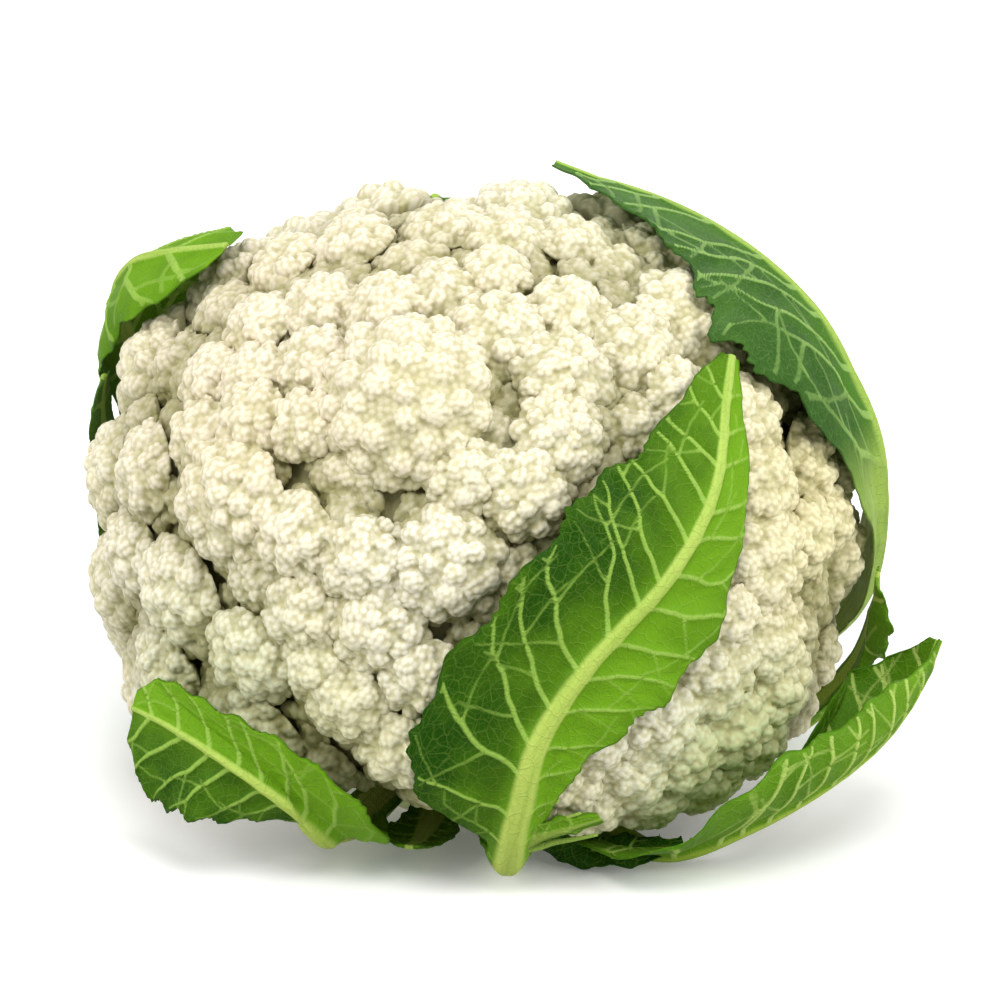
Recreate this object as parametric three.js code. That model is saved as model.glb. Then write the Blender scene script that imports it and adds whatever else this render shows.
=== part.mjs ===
// A cauliflower as picked: a domed curd of florets on a short cut stalk, with its leaves wrapped round it.
// Millimetres, +Z up. The origin is the middle of the stalk's cut face, and the front of the head is -Y.
import * as THREE from "three";
import { mergeVertices } from "three/addons/utils/BufferGeometryUtils.js";

// The curd is a rounded dome about its middle, cut level underneath where the stalk meets it.
const CURD = { width: 172, depth: 164, height: 134, middle: 68, underside: 13.5 };
const FULLNESS = { around: 2.1, above: 1.97, below: 3.4 }; // 2 is an ellipse, and more is squarer
const CURD_MIDDLE = new THREE.Vector3(0, 0, CURD.middle);
const CURD_SIZE = new THREE.Vector3(CURD.width, CURD.depth, CURD.height);
const CURD_DETAIL = 18; // splits of each icosahedron edge
const CORE_SHARE = 0.8; // the solid core's reach, as a share of the dome's
const HANG = 0.09; // how far the rim hangs down on the front right, for each millimetre that way
const HANG_WAY = new THREE.Vector3(0.866, -0.5, 0);
const FRONT_ELEVATION = THREE.MathUtils.degToRad(20); // how far above level the front is seen from

// The large florets of the front as they are seen from there: across, up and radius, from the curd's middle.
const FRONT_FLORETS = [
  [-16, 19, 20], [6, 34, 12.5], [-8, 45, 9.5], [-22, 41, 9.5], [5, 49, 8], [23, 40, 9.5], [21, 25, 11.5],
  [20, 10, 10.5], [-7, 62, 10.5], [8, 59, 11], [24, 58, 10], [-30, 57, 10.5], [-46, 52, 10.5], [-38, 41, 10],
  [-51, 36, 9.5], [-38, 27, 10], [-52, 24, 9], [-62, 24, 9], [-52, 14, 10], [-39, 13, 8], [-64, 11, 9],
  [-57, -4, 15], [-77, 3, 11], [-80, -16, 11], [-69, -26, 13.5], [-42, -12, 10], [-26, -18, 10.5],
  [-40, -30, 10.5], [-23, -34, 12], [-52, -40, 11.5], [-36, -43, 8.5], [-29, -51, 10.5], [-7, -19, 13.5],
  [-2, 1, 9], [12, -2, 10.5], [-12, -45, 10.5], [39, 31, 11], [48, 20, 9], [64, 15, 10.5], [67, -1, 11.5],
  [79, 5, 11], [78, -13, 10], [68, -19, 13.5], [69, -38, 12], [56, -46, 12], [42, -57, 12.5], [28, -60, 11],
  [70, -49, 11.5], [60, -58, 11.5], [49, -64, 10.5], [37, -68, 11], [21, -70, 11], [4, -66, 11],
  [-16, -62, 11], [-71, -44, 11], [14, -72, 10], [28, -74, 10], [42, -73, 10], [54, -69, 10], [65, -61, 10],
];
// The rest of the head is filled in two rounds: large florets, then small ones in what is left between them.
const FILL_ROUNDS = [
  { tries: 150, radius: 13, spread: 5, spacing: 0.86, sunk: 0 },
  { tries: 620, radius: 7.5, spread: 3, spacing: 0.74, sunk: 2.5 },
];
const LOWEST_FLORET = 16; // no filled floret is centred below this height
const BUD_SHARE = 0.4; // radius of a floret's buds, as a share of its own
const BUD_DEPTH = 0.62; // how much of a bud's radius is sunk in its floret
const SMALLEST_BUDDING = 13; // florets under this radius stay plain balls
const CHANCE_SEED = 4.7;

// Leaf blades and their ribs
const BLADE_THICKNESS = 0.9;
const RIB = { height: 7.2, tipHeight: 0.5, halfWidth: 5.2, tipHalfWidth: 1.4 };
const CURD_GAP = 1.6; // least gap from a leaf to the dome
const FLOOR_GAP = 0.6; // least height of a leaf above the surface that the head stands on
const COLUMNS = [-1, -0.78, -0.5, -0.22, -0.09, 0, 0.09, 0.22, 0.5, 0.78, 1]; // across a blade
const LOBE_DEPTH = 0.1; // of the notches along each edge, as a share of the half width
const WAVES = 3.5; // ripples along each edge

// A leaf's rib is its midrib's size against RIB, and its outer, where given, is the way its back faces.
// Its stations run from the stalk to the tip: the inner face's midline as x, y, z, then the half widths
// on its left and right as seen from outside, then how far each half turns in towards the curd, in degrees.
const LEAVES = {
  leaf_front: {
    rows: 26,
    wave: 1.4,
    rib: 0.8,
    stations: [
      [4, -32, 10.5, 5.5, 5.5, 0, 0], [6, -51, 8, 6, 6, 0, 0], [7, -66, 10, 5, 5, 0, 0],
      [7.6, -71.5, 17.5, 7, 5, 4, 5], [8.8, -74.5, 26, 23, 7, 8, 10], [13, -79, 42, 26, 13, 14, 15],
      [24, -80, 58, 26, 20, 18, 22], [40, -75, 74, 28, 19, 22, 25], [50, -66, 90, 21, 11, 20, 20],
      [53, -50, 106, 9, 5, 15, 12], [54.5, -42, 112, 2.5, 2, 0, 0],
    ],
  },
  leaf_right: {
    rows: 28,
    wave: 2,
    rib: 0.75,
    stations: [
      [25.6, 19.3, 10.5, 5.5, 5.5, 0, 0], [48, 36, 8.5, 6, 6, 0, 0], [68, 34, 18, 5.5, 7, 0, 10],
      [82, 18, 38, 7, 9, 5, 15], [87, 5, 59, 9, 10, 10, 20], [86, -1, 79, 22, 12, 25, 20],
      [78.5, 4, 95.5, 44, 20, 46, 30], [67, 11, 107, 54, 26, 50, 38], [54, 16.5, 116.5, 42, 25, 40, 38],
      [39.5, 20, 125, 27, 18, 32, 32], [27, 22.5, 130.5, 15, 10, 20, 20], [17.5, 24.5, 134, 6, 6, 0, 0],
    ],
  },
  leaf_lower_right: {
    rows: 20,
    wave: 1.2,
    rib: 0.6,
    outer: [0.35, -0.2, -0.9],
    stations: [
      [17.4, -26.8, 9.5, 5.5, 5.5, 0, 0], [27.5, -43, 6, 11, 4, 0, 0], [42, -56, 5.5, 19, 3, 5, 0],
      [58, -57.5, 11.5, 22, 4, 45, 60], [74.5, -51, 18, 20, 18, 85, 120],
      [87.5, -43.5, 25.5, 17, 25, 95, 115], [96, -37, 35, 9, 16, 80, 80], [100.5, -32.5, 44, 2.5, 3, 40, 40],
    ],
  },
  leaf_lower_left: {
    rows: 22,
    wave: 1.2,
    rib: 0.75,
    outer: [-0.35, -0.9, 0.15],
    stations: [
      [-17, -27.1, 10.5, 5.5, 5.5, 0, 0], [-25, -45, 9, 6, 7, 0, 0], [-31, -60.5, 13, 4.5, 15, 10, 0],
      [-39, -67.5, 20.5, 8.5, 17, 10, 8], [-49, -67.5, 27.5, 15, 16, 8, 18],
      [-59, -63, 32.5, 18.5, 14, 6, 25], [-67.5, -56.5, 35, 17.5, 11, 6, 20], [-73, -51, 35.5, 8, 4, 0, 0],
    ],
  },
  leaf_upper_left: {
    rows: 22,
    wave: 2.2,
    rib: 0.9,
    stations: [
      [-27, 17, 10.5, 5.5, 5.5, 0, 0], [-50.3, 32.3, 8.5, 6, 6, 0, 0], [-62, 45.5, 18, 9, 8, 10, 0],
      [-70, 49, 46, 18, 9, 20, 10], [-76, 47, 78, 24, 13, 25, 30], [-79, 37, 97, 24, 17, 30, 48],
      [-75, 25, 110, 22, 19, 35, 55], [-65, 13, 117, 17, 17, 35, 48], [-54, 4, 121.5, 7, 8, 20, 20],
    ],
  },
  leaf_left_low: {
    rows: 14,
    wave: 1.2,
    rib: 0.9,
    stations: [
      [-31, 5.5, 10.5, 5.5, 5.5, 0, 0], [-59, 11, 8.5, 6, 6, 0, 0], [-73.5, 22.5, 18, 6, 8, 0, 10],
      [-77, 32, 41, 6, 10, 0, 12], [-80, 31, 61, 6, 10, 0, 12], [-81, 26, 76, 5, 9, 0, 8],
      [-79.5, 21, 85, 2.5, 4, 0, 0],
    ],
  },
  leaf_right_low: {
    rows: 14,
    wave: 0.6,
    rib: 0.7,
    stations: [
      [31.3, 6.7, 10.5, 5.5, 5.5, 0, 0], [57.5, 12, 8.5, 5.5, 5.5, 0, 0], [76, 9, 19, 5, 4, -20, 0],
      [84.5, 0, 33, 10, 4, -65, 0], [87.3, -7, 43, 12.5, 3.5, -80, 0], [87.8, -12, 51.5, 6, 2.5, -60, 0],
    ],
  },
  leaf_under: {
    rows: 12,
    wave: 0.8,
    rib: 0.5,
    stations: [
      [-6.9, -31.2, 8.5, 4, 4, 0, 0], [-9.5, -43, 6, 7, 7, 15, 15], [-12, -54, 6, 8, 8, 20, 20],
      [-14, -64, 9, 3, 3, 0, 0],
    ],
  },
  leaf_back_left: {
    rows: 18,
    wave: 2.4,
    rib: 1,
    stations: [
      [-10, 30.5, 10.5, 5.5, 5.5, 0, 0], [-18.5, 57, 8.5, 6, 6, 0, 0], [-21.5, 74, 18, 11, 11, 10, 10],
      [-23, 80, 42, 24, 24, 20, 20], [-22, 83, 66, 30, 30, 28, 28], [-18, 78, 90, 29, 29, 30, 30],
      [-13, 70, 104, 20, 20, 28, 28], [-9, 60, 115, 5, 5, 10, 10],
    ],
  },
  leaf_back_right: {
    rows: 16,
    wave: 2.2,
    rib: 1,
    stations: [
      [15, 28.5, 10.5, 5.5, 5.5, 0, 0], [28.2, 53, 8.5, 6, 6, 0, 0], [38.5, 66.7, 18, 11, 11, 10, 10],
      [46.5, 70, 44, 20, 20, 18, 18], [51, 70, 66, 23, 23, 24, 24], [48, 66, 90, 18, 18, 24, 24],
      [43, 59, 105, 4, 4, 0, 0],
    ],
  },
};

// The stalk's outline from its cut face up: radius and height.
const STALK_PROFILE = [[0, 0], [27, 0], [29, 1.6], [30.6, 7], [31.3, 11], [31.3, 13.1], [0, 13.1]];
const STALK_SIDES = 32;

const CREAM = 0xe9e2c6;
const LEAF_GREEN = 0x5f9a35;
const STALK_GREEN = 0xc9d8a0;

const VIEW = new THREE.Vector3(0, Math.cos(FRONT_ELEVATION), -Math.sin(FRONT_ELEVATION));
const VIEW_UP = new THREE.Vector3(0, Math.sin(FRONT_ELEVATION), Math.cos(FRONT_ELEVATION));
const GOLDEN_ANGLE = Math.PI * (3 - Math.sqrt(5));

// A repeatable draw from 0 to 1 for the pair of whole numbers i and k.
function chance(i, k) {
  const wave = Math.sin(i * 12.9898 + k * 78.233 + CHANCE_SEED) * 43758.5453;
  return wave - Math.floor(wave);
}

// A point's height from the curd's middle before the rim hangs, which it does below and clear of the stalk.
function unhungHeight(point) {
  const slope = point.z / Math.hypot(point.x, point.y);
  const clear = THREE.MathUtils.smoothstep(slope, -1.25, -0.8);
  const low = 1 - THREE.MathUtils.smoothstep(slope, 0, 0.5);
  return point.z + HANG * clear * low * Math.max(0, point.dot(HANG_WAY));
}

// 1 on the dome, less inside it and more outside. The point is measured from the curd's middle.
function domeLevel(point) {
  const across = Math.abs((2 * point.x) / CURD.width) ** FULLNESS.around;
  const away = Math.abs((2 * point.y) / CURD.depth) ** FULLNESS.around;
  const height = unhungHeight(point);
  const fullness = height > 0 ? FULLNESS.above : FULLNESS.below;
  const up = Math.abs((2 * height) / CURD.height) ** fullness;
  return ((across + away) ** (fullness / FULLNESS.around) + up) ** (1 / fullness);
}

// The dome's near point behind a spot of the front view.
function seenFromFront(across, up) {
  const middle = new THREE.Vector3(across, 0, 0).addScaledVector(VIEW_UP, up);
  let near = CURD.width;
  let far = 0;
  for (let step = 0; step < 40; step++) {
    const half = (near + far) / 2;
    if (domeLevel(middle.clone().addScaledVector(VIEW, -half)) > 1) near = half;
    else far = half;
  }
  const point = middle.addScaledVector(VIEW, -far);
  return point.divideScalar(domeLevel(point));
}

// Direction i of a spiral that covers the sphere evenly, from the top down.
function spiralDirection(i, count) {
  const z = 1 - (2 * i + 1) / count;
  const flat = Math.sqrt(1 - z * z);
  return new THREE.Vector3(flat * Math.cos(i * GOLDEN_ANGLE), flat * Math.sin(i * GOLDEN_ANGLE), z);
}

// Every floret of the head as a ball just inside the dome.
function placeFlorets() {
  const florets = FRONT_FLORETS.map(([across, up, radius]) => {
    return { top: seenFromFront(across, up), radius, sunk: 0 };
  });
  FILL_ROUNDS.forEach(({ tries, radius, spread, spacing, sunk }, round) => {
    for (let i = 0; i < tries; i++) {
      const direction = spiralDirection(i, tries);
      const top = direction.divideScalar(domeLevel(direction));
      const size = radius + spread * chance(i, round);
      const clear = florets.every((other) => other.top.distanceTo(top) > spacing * (other.radius + size));
      if (clear && unhungHeight(top) + CURD.middle > LOWEST_FLORET) florets.push({ top, radius: size, sunk });
    }
  });
  return florets.map(({ top, radius, sunk }) => {
    const out = top.clone().normalize();
    return { centre: top.addScaledVector(out, -radius - sunk), out, radius };
  });
}

// The buds of one floret: smaller balls spread over its outer side.
function placeBuds({ centre, out, radius }, index) {
  const size = radius * BUD_SHARE;
  const count = Math.round(2.6 / BUD_SHARE ** 2);
  const turn = new THREE.Quaternion().setFromUnitVectors(new THREE.Vector3(0, 0, 1), out);
  const buds = [];
  for (let i = 0; i < count * 0.62; i++) {
    const direction = spiralDirection(i, count).applyQuaternion(turn);
    const grown = size * (0.8 + 0.4 * chance(i, 10 + index));
    const reach = radius - BUD_DEPTH * grown;
    buds.push({ centre: centre.clone().addScaledVector(direction, reach), radius: grown });
  }
  return buds;
}

// The curd: an even ball of triangles drawn out to the furthest floret or bud in each direction.
function curdGeometry() {
  const florets = placeFlorets();
  const budding = florets.filter((floret) => floret.radius >= SMALLEST_BUDDING);
  const balls = [...florets, ...budding.flatMap(placeBuds)];
  const geometry = new THREE.IcosahedronGeometry(1, CURD_DETAIL);
  geometry.deleteAttribute("normal");
  geometry.deleteAttribute("uv");
  const ball = mergeVertices(geometry, 1e-5);
  const position = ball.getAttribute("position");
  for (let i = 0; i < position.count; i++) {
    const direction = new THREE.Vector3().fromBufferAttribute(position, i).normalize();
    const dome = 1 / domeLevel(direction);
    let reach = CORE_SHARE * dome;
    for (const { centre, radius } of balls) {
      const along = centre.dot(direction);
      const inside = along * along - centre.lengthSq() + radius * radius;
      if (inside > 0) reach = Math.max(reach, along + Math.sqrt(inside));
    }
    reach = Math.min(reach, dome);
    const rise = unhungHeight(direction);
    if (rise < 0) reach = Math.min(reach, (CURD.underside - CURD.middle) / rise);
    position.setXYZ(i, ...direction.multiplyScalar(reach).add(CURD_MIDDLE).toArray());
  }
  return ball;
}

// A leaf's station at s, from 0 at the stalk to 1 at the tip, on a smooth curve through the given ones.
function stationAt(stations, s) {
  const last = stations.length - 1;
  const i = Math.min(Math.floor(s * last), last - 1);
  const f = s * last - i;
  const before = (n) => (i > 0 ? stations[i - 1][n] : 2 * stations[0][n] - stations[1][n]);
  const after = (n) => (i + 2 <= last ? stations[i + 2][n] : 2 * stations[last][n] - stations[last - 1][n]);
  return stations[i].map((from, n) => {
    const to = stations[i + 1][n];
    const leave = (to - before(n)) / 2;
    const arrive = (after(n) - from) / 2;
    const curve = 3 * (to - from) - 2 * leave - arrive;
    const twist = 2 * (from - to) + leave + arrive;
    return from + f * (leave + f * (curve + f * twist));
  });
}

// Moves a leaf's point out until it clears the dome.
function clearOfCurd(point) {
  const from = point.clone().sub(CURD_MIDDLE);
  const reach = from.length();
  const rise = unhungHeight(from) / reach;
  let least = reach / domeLevel(from) + CURD_GAP;
  if (rise < 0) least = Math.min(least, (CURD.underside - CURD_GAP - CURD.middle) / rise);
  return reach > least ? point : from.setLength(least).add(CURD_MIDDLE);
}

// A point of a leaf's inner face: s from the stalk to the tip, t from the left edge, -1, to the right, 1.
function bladePoint({ stations, outer, wave, rows }, s, t) {
  const step = 0.004;
  const [x, y, z, left, right, bendLeft, bendRight] = stationAt(stations, s);
  const middle = new THREE.Vector3(x, y, z);
  const ahead = new THREE.Vector3(...stationAt(stations, Math.min(1, s + step)));
  const behind = new THREE.Vector3(...stationAt(stations, Math.max(0, s - step)));
  const along = ahead.sub(behind).normalize();
  const out = middle.clone().sub(CURD_MIDDLE).divide(CURD_SIZE).divide(CURD_SIZE).normalize();
  if (outer) out.lerp(new THREE.Vector3(...outer), THREE.MathUtils.smoothstep(s, 0, 0.6));
  out.addScaledVector(along, -out.dot(along)).normalize();
  const side = new THREE.Vector3().crossVectors(along, out);
  const edge = Math.abs(t);
  const notch = 1 - LOBE_DEPTH * edge ** 4 * (0.5 - 0.5 * Math.cos(Math.PI * rows * s));
  const half = (t < 0 ? left : right) * notch;
  const turn = THREE.MathUtils.degToRad(t < 0 ? bendLeft : bendRight) * edge + 1e-6;
  const across = (half * edge * Math.sin(turn)) / turn;
  const inward = (half * edge * (1 - Math.cos(turn))) / turn;
  const swell = Math.min(1, half / 20) * edge ** 2;
  const ripple = wave * swell * Math.sin(2 * Math.PI * WAVES * s + (t < 0 ? 0 : 2));
  const point = middle.addScaledVector(side, Math.sign(t) * across).addScaledVector(out, ripple - inward);
  return clearOfCurd(point);
}

// How far the outer face stands off the inner one: the blade, with the midrib along its middle.
function thicknessAt(leaf, s, t) {
  const [, , , left, right] = stationAt(leaf.stations, s);
  const fade = (1 - s) ** 1.3;
  const height = RIB.tipHeight + (RIB.height - RIB.tipHeight) * fade;
  const halfWidth = RIB.tipHalfWidth + (RIB.halfWidth - RIB.tipHalfWidth) * fade;
  const off = (t * (t < 0 ? left : right)) / halfWidth;
  return BLADE_THICKNESS + leaf.rib * height * Math.exp(-1.4 * off ** 2);
}

// A leaf: two like grids of triangles, the inner face and the outer one, closed round their edge.
function leafGeometry(leaf) {
  const across = COLUMNS.length;
  const inner = [];
  const outer = [];
  const tilt = 0.01;
  for (let row = 0; row <= leaf.rows; row++) {
    const s = row / leaf.rows;
    for (const t of COLUMNS) {
      const point = bladePoint(leaf, s, t);
      const ahead = bladePoint(leaf, Math.min(1, s + tilt), t);
      const behind = bladePoint(leaf, Math.max(0, s - tilt), t);
      const right = bladePoint(leaf, s, Math.min(1, t + tilt));
      const left = bladePoint(leaf, s, Math.max(-1, t - tilt));
      const out = right.sub(left).cross(ahead.sub(behind)).normalize();
      point.z = Math.max(point.z, FLOOR_GAP + BLADE_THICKNESS);
      const face = point.clone().addScaledVector(out, thicknessAt(leaf, s, t));
      face.z = Math.max(face.z, FLOOR_GAP);
      inner.push(point);
      outer.push(face);
    }
  }
  const points = [...inner, ...outer];
  const at = (row, column) => row * across + column;
  const under = inner.length;
  const triangles = [];
  const quad = (a, b, c, d) => triangles.push(a, b, c, a, c, d);
  for (let row = 0; row < leaf.rows; row++) {
    for (let column = 0; column + 1 < across; column++) {
      const [a, b] = [at(row, column), at(row, column + 1)];
      const [c, d] = [at(row + 1, column + 1), at(row + 1, column)];
      quad(a, d, c, b);
      quad(under + a, under + b, under + c, under + d);
    }
    const [left, leftNext] = [at(row, 0), at(row + 1, 0)];
    const [right, rightNext] = [at(row, across - 1), at(row + 1, across - 1)];
    quad(left, under + left, under + leftNext, leftNext);
    quad(right, rightNext, under + rightNext, under + right);
  }
  for (let column = 0; column + 1 < across; column++) {
    const [base, baseNext] = [at(0, column), at(0, column + 1)];
    const [tip, tipNext] = [at(leaf.rows, column), at(leaf.rows, column + 1)];
    quad(base, baseNext, under + baseNext, under + base);
    quad(tip, under + tip, under + tipNext, tipNext);
  }
  return new THREE.BufferGeometry().setFromPoints(points).setIndex(triangles);
}

function stalkGeometry() {
  const outline = STALK_PROFILE.map(([radius, height]) => new THREE.Vector2(radius, height));
  return new THREE.LatheGeometry(outline, STALK_SIDES).rotateX(Math.PI / 2);
}

function piece(name, geometry, color, roughness) {
  const mesh = new THREE.Mesh(geometry, new THREE.MeshStandardMaterial({ color, roughness, metalness: 0 }));
  mesh.name = name;
  return mesh;
}

const cauliflower = new THREE.Group();
cauliflower.add(piece("curd", curdGeometry(), CREAM, 0.7));
cauliflower.add(piece("stalk", stalkGeometry(), STALK_GREEN, 0.6));
for (const [name, leaf] of Object.entries(LEAVES)) {
  cauliflower.add(piece(name, leafGeometry(leaf), LEAF_GREEN, 0.5));
}

export default cauliflower;
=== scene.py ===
"""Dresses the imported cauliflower: a curd of budded florets, a cut stalk and veined leaves. Metres, +Z up."""

import math
import random

import bmesh
import bpy
import numpy as np
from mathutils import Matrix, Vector, kdtree


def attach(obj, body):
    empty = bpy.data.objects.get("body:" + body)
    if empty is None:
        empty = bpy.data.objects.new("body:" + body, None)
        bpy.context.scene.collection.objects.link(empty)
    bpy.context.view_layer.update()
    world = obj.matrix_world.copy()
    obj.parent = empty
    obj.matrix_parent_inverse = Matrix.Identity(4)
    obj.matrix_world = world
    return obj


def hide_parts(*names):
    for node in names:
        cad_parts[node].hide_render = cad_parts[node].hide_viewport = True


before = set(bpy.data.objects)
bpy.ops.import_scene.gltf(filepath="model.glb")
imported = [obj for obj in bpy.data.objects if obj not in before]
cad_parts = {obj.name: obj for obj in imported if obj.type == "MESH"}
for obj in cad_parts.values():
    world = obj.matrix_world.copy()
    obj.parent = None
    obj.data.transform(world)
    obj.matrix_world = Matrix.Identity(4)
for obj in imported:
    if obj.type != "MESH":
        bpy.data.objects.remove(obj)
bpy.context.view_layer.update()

MM = 0.001  # the values below are in millimetres, as in the part's source

# The camera stands in front of the head and a little above it
FRONT_ELEVATION = math.radians(20)
CAMERA_TARGET = (5.5, 0.0, 64.4)
CAMERA_DISTANCE = 1600.0
CAMERA_FIELD = 220.0  # width of what it sees at the target
SENSOR = 36.0

# The curd's dome, as in the part's source
CURD_SPAN = np.array((172.0, 164.0, 134.0))
CURD_MIDDLE = np.array((0.0, 0.0, 68.0))
UNDERSIDE = 13.5
FULL_AROUND, FULL_ABOVE, FULL_BELOW = 2.1, 1.97, 3.4  # 2 is an ellipse, and more is squarer
HANG = 0.09  # how far the rim hangs down, for each millimetre to the front right
HANG_WAY = np.array((0.866, -0.5, 0.0))
HANG_STARTS, HANG_ENDS = (-1.25, -0.8), (0, 0.5)  # slopes between which it sets in and ends
CORE_SHARE = 0.86  # the core's reach, as a share of the dome's

# The large florets of the front: across, up and radius, from the curd's middle
FRONT_FLORETS = (
    (-16, 19, 20), (6, 34, 12.5), (-8, 45, 9.5), (-22, 41, 9.5), (5, 49, 8), (23, 40, 9.5),
    (21, 25, 11.5), (20, 10, 10.5), (-7, 62, 10.5), (8, 59, 11), (24, 58, 10), (-30, 57, 10.5),
    (-46, 52, 10.5), (-38, 41, 10), (-51, 36, 9.5), (-38, 27, 10), (-52, 24, 9), (-62, 24, 9),
    (-52, 14, 10), (-39, 13, 8), (-64, 11, 9), (-57, -4, 15), (-77, 3, 11), (-80, -16, 11),
    (-69, -26, 13.5), (-42, -12, 10), (-26, -18, 10.5), (-40, -30, 10.5), (-23, -34, 12),
    (-52, -40, 11.5), (-36, -43, 8.5), (-29, -51, 10.5), (-7, -19, 13.5), (-2, 1, 9),
    (12, -2, 10.5), (-12, -45, 10.5), (39, 31, 11), (48, 20, 9), (64, 15, 10.5), (67, -1, 11.5),
    (79, 5, 11), (78, -13, 10), (68, -19, 13.5), (69, -38, 12), (56, -46, 12), (42, -57, 12.5),
    (28, -60, 11), (70, -49, 11.5), (60, -58, 11.5), (49, -64, 10.5), (37, -68, 11), (21, -70, 11),
    (4, -66, 11), (-16, -62, 11), (-71, -44, 11), (14, -72, 10), (28, -74, 10), (42, -73, 10),
    (54, -69, 10), (65, -61, 10),
)
# Rounds of florets that fill the rest, the last deep in the gaps: tries, radius, spread, spacing, sunk
FILL_ROUNDS = (
    (150, 13, 5, 0.86, 0), (620, 7.5, 3, 0.74, 2.5), (900, 6, 2, 0.6, 4.5), (1500, 4, 1.5, 0.52, 5),
)
# Florets that close what the rounds leave open at the front: across, up and radius
LAST_FLORETS = ((58, -30, 7), (84, 2, 9), (81, 15, 9), (82.5, -8, 8))
SETTLE, LEAST_SETTLED = 3.4, 0.3  # how much lower small florets lie, and the least share of it
FRONT_SETTLED = 0.4  # the front florets' share of it
LIFT = 6.0  # the largest of the front stand out by up to this much
SETTLED_RADII, LIFTED_RADII = (9, 14), (13, 20)  # where settling ends and lifting starts
LOWEST_FLORET = 16
CHANCE_SEED = 4.7
SETTLE_DRAW, SIZE_DRAW, RISE_DRAW, WANDER_DRAWS = 7, 10, 900, (300, 500, 700)

# Florets are drawn wider than their radius, the small ones most, so that neighbours meet in a crease
SWELL, SWELL_FALL = 1.3, 0.008
LEAST_CAP, MOST_CAP, CAP_MARGIN = math.radians(36), math.radians(62), math.radians(3)
FRONT_EDGE, BACK_EDGE, GAP_EDGE = 0.47, 0.92, 0.7  # length of a mesh edge
FACING_AWAY = 0.1  # a floret that faces further away from the camera is at the back
PROBES, UPPER_PROBES = 500, 280  # even points on a ball, and the upper ones that are tried
HIDDEN_DEPTH = 1.0  # a point deeper than this in a neighbour is hidden
BARE_LEVEL = 0.9  # and so is one below this share of the dome
GAP_DEPTH = 5.5  # a floret this far below the dome only fills a gap
PIECE_LIMIT = 180000  # triangles in one piece

# Buds on the florets and grains on the buds
BUD_LEAST, BUD_SHARE = 1.5, 0.14  # a bud's radius: a least size and a share of its floret's
BUD_CROWD = 3.9  # more of it puts more buds on a ball
BUD_WANDER, BUD_UNEVEN = 0.7, 0.3  # how far buds stray sideways and up, in radii
BUD_SMALLEST, BUD_SPREAD = 0.7, 0.6  # the least size, in radii, and what chance adds
BUD_LIMIT = 1.2  # buds go on a little below the cap
BUD_SINK = 0.5  # a floret's own ball lies this share of a bud's radius below the buds' tops
GRAIN_SPACING, GRAIN_HEIGHT = 1.3, 0.52
GRAIN_REACH = 0.8  # a grain's radius, as a share of its spacing
GRAIN_SINK = 0.7  # this share of a grain's height is sunk in its bud
FOLDED_RIM = 0.5  # a floret's rim folds in to this share of its ball
HOLLOW_DEPTH = 10.0  # hollows this far below the dome count in full
CORE_SEED = 900  # for its grains

# Leaves
RIB_HEIGHT, RIB_TIP_HEIGHT = 7.2, 0.5
RIB_HALF_WIDTH, RIB_TIP_HALF_WIDTH = 4.8, 1.1
RIB_FADE = 1.3
RIB_SLIMS, PALE_FOOT_ENDS = (0.2, 0.5), (0.4, 0.56)  # where along the leaf
BESIDE_RIB = 12.0  # the blade is lighter this near to the rib
# How far from the rib the painted light and shade of a leaf's two halves blend
HALF_LIGHT_BLEND = 0.25  # how far from the rib the tones of the two halves blend
BLADE_THICKNESS = 0.7
MARGIN_WIDTH = 1.2
CURD_GAP = 1.6
FLOOR_GAP = 0.6
OUTER_SHARE = 0.6  # where along the leaf its own outward way holds in full
LOBE_DEPTH = 0.1
WAVES = 3.5
FULL_WAVE_HALF = 20.0  # a narrower half of a blade waves less
TOOTH_DEPTH, TEETH_IN_ROW = 0.05, 2.3
RUFFLE, RUFFLES_IN_WAVE = 0.5, 3.4
PATTERN_STEP = 40.0  # keeps the patterns of the leaves apart

# Veins
VEIN_STEP = 0.5
VEIN_HALF, THINNEST_HALF, STOUT_HALF = 0.44, 0.17, 0.32  # half widths at the rib, at an end, when stout
VEIN_THINNING = 0.75  # how much of its width a vein loses on its way out
VEIN_TAPER = 0.58  # a branch's width, as a share of its vein's
VEIN_BEND = math.radians(-22)  # how far a vein turns towards the tip on its way out
VEIN_SHAKE, VEIN_PULL = 4, 0.08  # degrees it strays in a step, and how soon it turns back
VEIN_REACH = 1.9  # a vein's reach, in half widths of the blade
VEIN_END = 0.94  # how far out towards the margin veins run
VEIN_ANGLE, VEIN_ANGLE_FALL, VEIN_ANGLE_SPREAD = 82, 38, 6  # degrees from the rib
FIRST_VEIN, VEIN_SPAN = 0.14, 0.82  # the part of the leaf that has veins
FIRST_FORK, NEXT_FORK, BRANCH_REACH = (0.12, 0.3), (0.14, 0.26), (0.25, 0.5)  # shares of a vein's reach
FORK_ANGLES, FORK_KICK = (35, 60), (6, 16)  # degrees by which a branch and its vein turn apart
VEIN_HEIGHT, VEIN_FOOT, INNER_RELIEF = 0.5, 0.75, 0.4
PUCKER, PUCKER_REACH = 0.6, 3.0
LEAST_VEINED_HALF = 4.5
FINE_STEP, COARSE_VEIN = 0.35, 0.42  # coarser meshes have wider veins
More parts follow.
